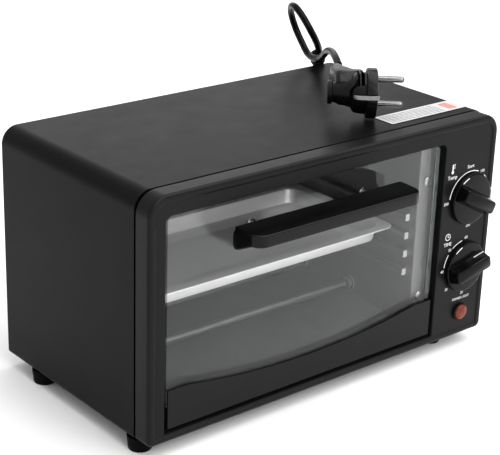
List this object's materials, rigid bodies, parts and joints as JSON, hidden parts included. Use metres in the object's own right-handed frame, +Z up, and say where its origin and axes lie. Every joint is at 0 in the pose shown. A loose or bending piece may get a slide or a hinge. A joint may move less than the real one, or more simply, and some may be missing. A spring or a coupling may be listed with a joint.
{
  "type": "toaster oven",
  "caption": "Small bench-top toaster oven with a drop-down glass door, round temperature and timer knobs, an indicator lamp, an inner tray and a mains lead bundled behind with its plug on top.",
  "frame": {"origin": "middle of the oven at the surface its feet stand on, centred on the box of the oven without its lead", "axes": "+X to the right as seen from the front (width), +Y to the rear (depth), +Z up (height); the door and knobs face -Y"},
  "size_m": [0.33, 0.2889, 0.242],
  "materials": {
    "shell_enamel": "satin black powder coat",
    "frame_enamel": "semi-gloss black paint",
    "black_plastic": "fine moulded grain",
    "knob_plastic": "semi-gloss moulded",
    "door_glass": "clear tempered",
    "rail_enamel": "gloss black paint",
    "cavity_steel": "aluminised sheet, satin",
    "zinc_plate": "bright zinc plated",
    "heater_sheath": "oxidised tube",
    "ceramic": "unglazed white ceramic",
    "tray_aluminium": "bright satin",
    "lamp_lens": "translucent orange-red",
    "cord_jacket": "smooth black jacket",
    "label_paper": "printed film",
    "nickel": "nickel plated brass"
  },
  "bodies": {
    "oven": {"base_panel": "shell_enamel", "cavity_back": "cavity_steel", "cavity_floor": "cavity_steel", "cavity_roof": "cavity_steel", "cavity_side_left": "cavity_steel", "cavity_side_right": "cavity_steel", "control_heat_shield": "cavity_steel", "cord_coil": "cord_jacket", "cord_gland": "black_plastic", "cord_lead": "cord_jacket", "cord_run": "cord_jacket", "flange_screw_lower": "zinc_plate", "flange_screw_upper": "zinc_plate", "foot_front_left": "black_plastic", "foot_front_right": "black_plastic", "foot_rear_left": "black_plastic", "foot_rear_right": "black_plastic", "front_frame": "frame_enamel", "heater_lower_front": "heater_sheath", "heater_lower_rear": "heater_sheath", "heater_socket_lower_left": "ceramic", "heater_socket_lower_right": "ceramic", "heater_socket_upper_left": "ceramic", "heater_socket_upper_right": "ceramic", "heater_upper_front": "heater_sheath", "heater_upper_rear": "heater_sheath", "lamp_bezel": "black_plastic", "lamp_body": "black_plastic", "lamp_lens": "lamp_lens", "outer_shell": "shell_enamel", "plug_body": "black_plastic", "plug_earth_clip_front": "nickel", "plug_earth_clip_rear": "nickel", "plug_pin_lower": "nickel", "plug_pin_upper": "nickel", "rear_panel": "shell_enamel", "rear_screw_lower_left": "zinc_plate", "rear_screw_lower_right": "zinc_plate", "rear_screw_upper_left": "zinc_plate", "rear_screw_upper_right": "zinc_plate", "terminal_block": "ceramic", "thermostat_body": "zinc_plate", "timer_body": "zinc_plate", "top_label": "label_paper"},
    "door": {"door_glass": "door_glass", "door_rail": "rail_enamel", "door_handle": "black_plastic", "door_hinge_pin_left": "zinc_plate", "door_hinge_pin_right": "zinc_plate", "handle_screw_left": "zinc_plate", "handle_screw_right": "zinc_plate"},
    "temperature_knob": {"temperature_knob": "knob_plastic", "thermostat_shaft": "zinc_plate"},
    "timer_knob": {"timer_knob": "knob_plastic", "timer_shaft": "zinc_plate"},
    "baking_tray": {"baking_tray": "tray_aluminium"}
  },
  "joints": [
    {"name": "door_hinge", "type": "hinge", "parent": "oven", "child": "door", "pos_m": [-0.0201, -0.06985, 0.023], "axis": [1, 0, 0], "range_deg": [0, 84]},
    {"name": "temperature_turn", "type": "hinge", "parent": "oven", "child": "temperature_knob", "pos_m": [0.139, -0.07725, 0.1268], "axis": [0, -1, 0], "range_deg": [-152, 122]},
    {"name": "timer_turn", "type": "hinge", "parent": "oven", "child": "timer_knob", "pos_m": [0.139, -0.07725, 0.0704], "axis": [0, -1, 0], "range_deg": [-280, 0]},
    {"name": "tray_slide", "type": "slide", "parent": "oven", "child": "baking_tray", "axis": [0, -1, 0], "range_m": [0, 0.1]}
  ],
  "couplings": [
    {"joint": "tray_slide", "follows": "door_hinge", "m_per_rad": 0.0682}
  ]
}
